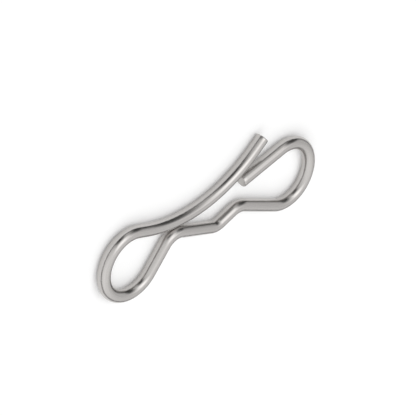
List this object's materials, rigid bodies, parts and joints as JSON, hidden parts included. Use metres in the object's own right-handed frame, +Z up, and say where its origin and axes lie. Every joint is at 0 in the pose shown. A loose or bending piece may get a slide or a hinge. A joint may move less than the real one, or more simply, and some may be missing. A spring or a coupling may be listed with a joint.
{
  "type": "spring locking pin",
  "caption": "Round spring wire pin with a bowed prong for a cross-hole, a seat that springs onto the shaft, and a loop at each end.",
  "frame": {"origin": "middle of the underside of the pin's bounding box, with the pin lying flat", "axes": "+X along the pin from the prong's loop to the tail's loop, +Y across it towards the prong's free end, +Z up through the wire, square to the plane that the wire is bent in"},
  "size_m": [0.065, 0.0232, 0.003],
  "materials": {
    "spring_wire": "smooth satin drawn stainless spring wire"
  },
  "bodies": {
    "root": {"spring_pin": "spring_wire"}
  },
  "joints": []
}
